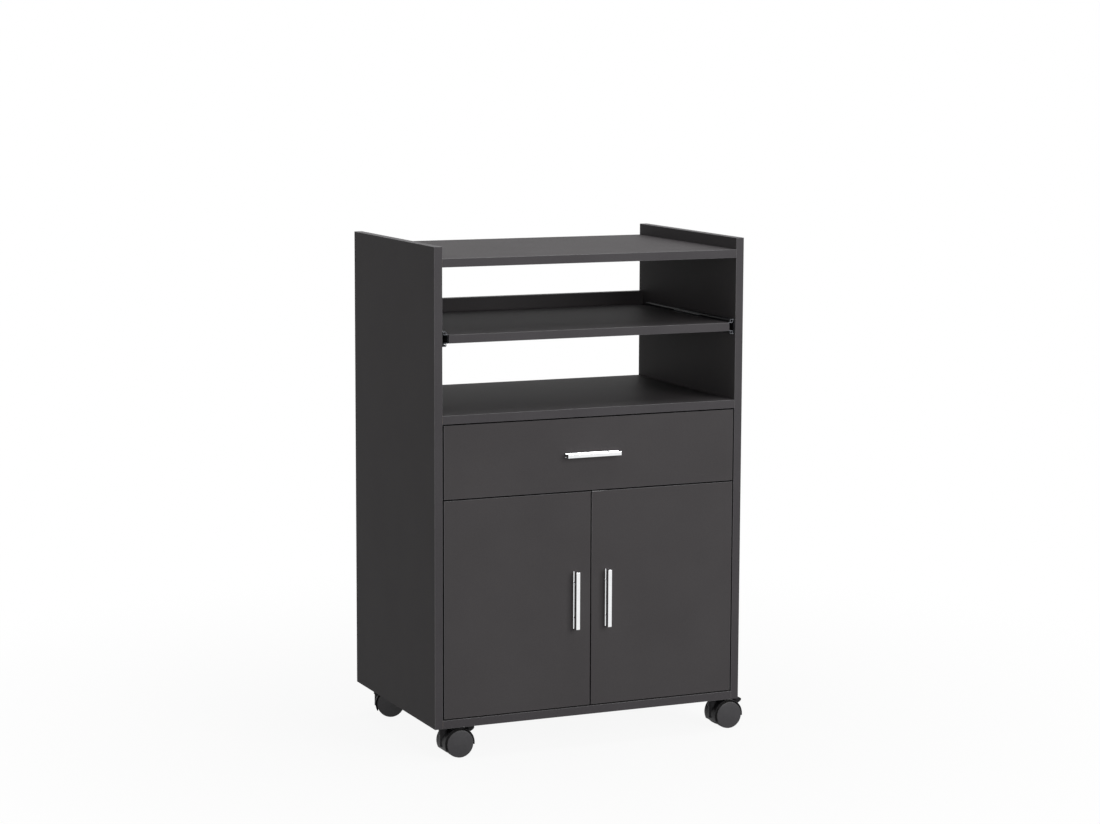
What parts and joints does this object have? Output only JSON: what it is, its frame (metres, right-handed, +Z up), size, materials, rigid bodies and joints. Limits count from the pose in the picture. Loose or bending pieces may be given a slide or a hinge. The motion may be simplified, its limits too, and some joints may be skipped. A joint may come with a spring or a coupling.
{
  "type": "microwave cart",
  "caption": "Open-topped kitchen cart on twin-wheel casters, with a raised-edge top, a pull-out shelf, an open bay, a drawer and a two-door cupboard.",
  "frame": {"origin": "on the floor under the middle of the whole outline, brake pedals and handles included; the carcass's own middle plane is at x = -0.012", "axes": "+Z up, the doors and the drawer face -Y, +X to the right as seen from the front"},
  "size_m": [0.624, 0.415, 0.91],
  "materials": {
    "board_dark": "matt melamine-faced board in anthracite",
    "back_board": "thin lacquered hardboard",
    "dowel_wood": "raw beech",
    "chrome_bar": "bright chrome-plated zinc bar",
    "slide_steel": "black electrophoretic coating on roll-formed steel",
    "bright_steel": "bright zinc-plated steel",
    "caster_plastic": "matt moulded nylon",
    "wheel_plastic": "satin moulded polypropylene"
  },
  "bodies": {
    "carcass": {"left_side_panel": "board_dark", "right_side_panel": "board_dark", "bottom_board": "board_dark", "divider_board": "board_dark", "middle_shelf": "board_dark", "top_shelf": "board_dark", "back_rail": "board_dark", "back_panel": "back_board", "loose_shelf": "board_dark", "shelf_pins": "bright_steel", "cam_fittings": "bright_steel", "dowels": "dowel_wood", "pullout_channels": "slide_steel", "drawer_channels": "slide_steel", "carcass_screws": "bright_steel", "hinge_arms": "bright_steel", "caster_plates": "bright_steel", "swivel_pins": "bright_steel"},
    "pullout": {"pullout_shelf": "board_dark", "pullout_rails": "slide_steel"},
    "pullout_cages": {"pullout_ball_cages": "bright_steel"},
    "drawer": {"drawer_front": "board_dark", "drawer_left_side": "board_dark", "drawer_right_side": "board_dark", "drawer_back": "board_dark", "drawer_bottom": "back_board", "drawer_dowels": "dowel_wood", "drawer_handle": "chrome_bar", "drawer_rails": "slide_steel", "drawer_screws": "bright_steel"},
    "drawer_cages": {"drawer_ball_cages": "bright_steel"},
    "left_door": {"left_door": "board_dark", "left_door_handle": "chrome_bar", "left_hinge_cups": "bright_steel", "left_door_screws": "bright_steel"},
    "left_links": {"left_hinge_links": "bright_steel"},
    "right_door": {"right_door": "board_dark", "right_door_handle": "chrome_bar", "right_hinge_cups": "bright_steel", "right_door_screws": "bright_steel"},
    "right_links": {"right_hinge_links": "bright_steel"},
    "front_left_fork": {"front_left_hood": "caster_plastic", "front_left_axle": "bright_steel"},
    "front_left_inner": {"front_left_inner_wheel": "wheel_plastic"},
    "front_left_outer": {"front_left_outer_wheel": "wheel_plastic"},
    "front_left_lever": {"front_left_brake": "caster_plastic"},
    "front_right_fork": {"front_right_hood": "caster_plastic", "front_right_axle": "bright_steel"},
    "front_right_inner": {"front_right_inner_wheel": "wheel_plastic"},
    "front_right_outer": {"front_right_outer_wheel": "wheel_plastic"},
    "front_right_lever": {"front_right_brake": "caster_plastic"},
    "rear_left_fork": {"rear_left_hood": "caster_plastic", "rear_left_axle": "bright_steel"},
    "rear_left_inner": {"rear_left_inner_wheel": "wheel_plastic"},
    "rear_left_outer": {"rear_left_outer_wheel": "wheel_plastic"},
    "rear_right_fork": {"rear_right_hood": "caster_plastic", "rear_right_axle": "bright_steel"},
    "rear_right_inner": {"rear_right_inner_wheel": "wheel_plastic"},
    "rear_right_outer": {"rear_right_outer_wheel": "wheel_plastic"}
  },
  "joints": [
    {"name": "pullout_slide", "type": "slide", "parent": "carcass", "child": "pullout", "axis": [0, -1, 0], "range_m": [0, 0.24]},
    {"name": "pullout_cage_slide", "type": "slide", "parent": "carcass", "child": "pullout_cages", "axis": [0, -1, 0], "range_m": [0, 0.12]},
    {"name": "drawer_slide", "type": "slide", "parent": "carcass", "child": "drawer", "axis": [0, -1, 0], "range_m": [0, 0.24]},
    {"name": "drawer_cage_slide", "type": "slide", "parent": "carcass", "child": "drawer_cages", "axis": [0, -1, 0], "range_m": [0, 0.12]},
    {"name": "left_door_hinge", "type": "hinge", "parent": "carcass", "child": "left_door", "pos_m": [-0.2945, -0.1925, 0.27175], "axis": [0, 0, -1], "range_deg": [0, 100]},
    {"name": "left_link_hinge", "type": "hinge", "parent": "carcass", "child": "left_links", "pos_m": [-0.2825, -0.1715, 0.27175], "axis": [0, 0, -1], "range_deg": [0, 42]},
    {"name": "right_door_hinge", "type": "hinge", "parent": "carcass", "child": "right_door", "pos_m": [0.2705, -0.1925, 0.27175], "axis": [0, 0, 1], "range_deg": [0, 100]},
    {"name": "right_link_hinge", "type": "hinge", "parent": "carcass", "child": "right_links", "pos_m": [0.2585, -0.1715, 0.27175], "axis": [0, 0, 1], "range_deg": [0, 42]},
    {"name": "front_left_swivel", "type": "hinge", "parent": "carcass", "child": "front_left_fork", "pos_m": [-0.28, -0.1525, 0.06], "axis": [0, 0, 1], "continuous": true},
    {"name": "front_left_inner_spin", "type": "hinge", "parent": "front_left_fork", "child": "front_left_inner", "pos_m": [-0.2573, -0.1525, 0.0255], "axis": [0, 1, 0], "continuous": true},
    {"name": "front_left_outer_spin", "type": "hinge", "parent": "front_left_fork", "child": "front_left_outer", "pos_m": [-0.2573, -0.1525, 0.0255], "axis": [0, 1, 0], "continuous": true},
    {"name": "front_left_brake_hinge", "type": "hinge", "parent": "front_left_fork", "child": "front_left_lever", "pos_m": [-0.2453, -0.1525, 0.0385], "axis": [0, 1, 0], "range_deg": [0, 14]},
    {"name": "front_right_swivel", "type": "hinge", "parent": "carcass", "child": "front_right_fork", "pos_m": [0.256, -0.1525, 0.06], "axis": [0, 0, 1], "continuous": true},
    {"name": "front_right_inner_spin", "type": "hinge", "parent": "front_right_fork", "child": "front_right_inner", "pos_m": [0.2787, -0.1525, 0.0255], "axis": [0, 1, 0], "continuous": true},
    {"name": "front_right_outer_spin", "type": "hinge", "parent": "front_right_fork", "child": "front_right_outer", "pos_m": [0.2787, -0.1525, 0.0255], "axis": [0, 1, 0], "continuous": true},
    {"name": "front_right_brake_hinge", "type": "hinge", "parent": "front_right_fork", "child": "front_right_lever", "pos_m": [0.2907, -0.1525, 0.0385], "axis": [0, 1, 0], "range_deg": [0, 14]},
    {"name": "rear_left_swivel", "type": "hinge", "parent": "carcass", "child": "rear_left_fork", "pos_m": [-0.28, 0.1775, 0.06], "axis": [0, 0, 1], "continuous": true},
    {"name": "rear_left_inner_spin", "type": "hinge", "parent": "rear_left_fork", "child": "rear_left_inner", "pos_m": [-0.25877, 0.16948, 0.0255], "axis": [0.3535, 0.9354, 0], "continuous": true},
    {"name": "rear_left_outer_spin", "type": "hinge", "parent": "rear_left_fork", "child": "rear_left_outer", "pos_m": [-0.25877, 0.16948, 0.0255], "axis": [0.3535, 0.9354, 0], "continuous": true},
    {"name": "rear_right_swivel", "type": "hinge", "parent": "carcass", "child": "rear_right_fork", "pos_m": [0.256, 0.1775, 0.06], "axis": [0, 0, 1], "continuous": true},
    {"name": "rear_right_inner_spin", "type": "hinge", "parent": "rear_right_fork", "child": "rear_right_inner", "pos_m": [0.27459, 0.16448, 0.0255], "axis": [0.5736, 0.8192, 0], "continuous": true},
    {"name": "rear_right_outer_spin", "type": "hinge", "parent": "rear_right_fork", "child": "rear_right_outer", "pos_m": [0.27459, 0.16448, 0.0255], "axis": [0.5736, 0.8192, 0], "continuous": true}
  ],
  "couplings": [
    {"joint": "pullout_cage_slide", "follows": "pullout_slide", "ratio": 0.5},
    {"joint": "drawer_cage_slide", "follows": "drawer_slide", "ratio": 0.5},
    {"joint": "left_link_hinge", "follows": "left_door_hinge", "ratio": 0.42},
    {"joint": "right_link_hinge", "follows": "right_door_hinge", "ratio": 0.42}
  ]
}
